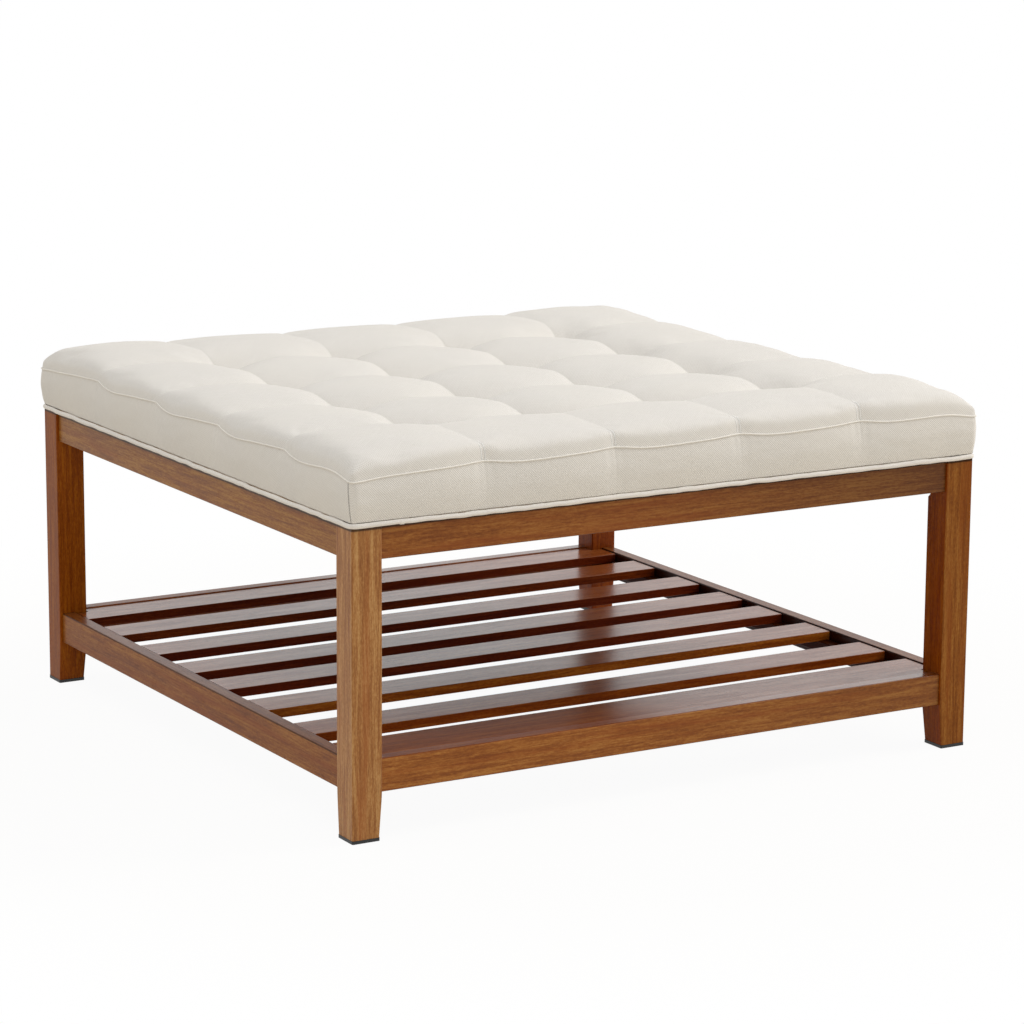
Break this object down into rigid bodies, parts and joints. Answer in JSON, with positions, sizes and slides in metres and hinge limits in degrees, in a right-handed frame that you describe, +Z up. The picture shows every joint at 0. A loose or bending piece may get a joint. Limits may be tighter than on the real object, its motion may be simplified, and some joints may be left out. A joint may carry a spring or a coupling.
{
  "type": "ottoman coffee table",
  "caption": "Square ottoman coffee table: tufted linen cushion top on a walnut-finished wooden frame with a slatted lower shelf.",
  "frame": {"origin": "on the floor under the centre of the table", "axes": "+Z up, front towards -Y, shelf slats along X"},
  "size_m": [0.9094, 0.9094, 0.4693],
  "materials": {
    "walnut_wood": "satin lacquer",
    "pale_hardwood": "sawn",
    "plywood": "raw",
    "black_glide": "moulded",
    "zinc_steel": "zinc plated",
    "ivory_linen": "woven linen",
    "ivory_welt": "woven linen over a cord",
    "seat_foam": "open cell foam",
    "tie_cord": "waxed twine",
    "dust_cloth": "spunbonded sheet"
  },
  "bodies": {
    "root": {"front_left_leg": "walnut_wood", "front_left_glide": "black_glide", "front_left_corner_block": "pale_hardwood", "front_right_leg": "walnut_wood", "front_right_glide": "black_glide", "front_right_corner_block": "pale_hardwood", "back_left_leg": "walnut_wood", "back_left_glide": "black_glide", "back_left_corner_block": "pale_hardwood", "back_right_leg": "walnut_wood", "back_right_glide": "black_glide", "back_right_corner_block": "pale_hardwood", "front_shelf_rail": "walnut_wood", "front_apron": "walnut_wood", "right_shelf_rail": "walnut_wood", "right_apron": "walnut_wood", "back_shelf_rail": "walnut_wood", "back_apron": "walnut_wood", "left_shelf_rail": "walnut_wood", "left_apron": "walnut_wood", "right_shelf_ledger": "walnut_wood", "left_shelf_ledger": "walnut_wood", "front_shelf_board": "walnut_wood", "back_shelf_board": "walnut_wood", "shelf_slat_1": "walnut_wood", "shelf_slat_2": "walnut_wood", "shelf_slat_3": "walnut_wood", "shelf_slat_4": "walnut_wood", "shelf_slat_5": "walnut_wood", "shelf_slat_6": "walnut_wood", "shelf_rail_dowels": "pale_hardwood", "apron_dowels": "pale_hardwood", "hanger_bolts": "zinc_steel", "hanger_washers": "zinc_steel", "hanger_nuts": "zinc_steel", "block_screws": "zinc_steel", "top_screws": "zinc_steel", "ledger_screws": "zinc_steel", "slat_screws": "zinc_steel", "dust_cover_staples": "zinc_steel", "top_panel": "plywood", "foam_pad": "seat_foam", "tufted_cover": "ivory_linen", "bottom_welt": "ivory_welt", "tuft_ties": "tie_cord", "tuft_toggles": "black_glide", "dust_cover": "dust_cloth"}
  },
  "joints": []
}
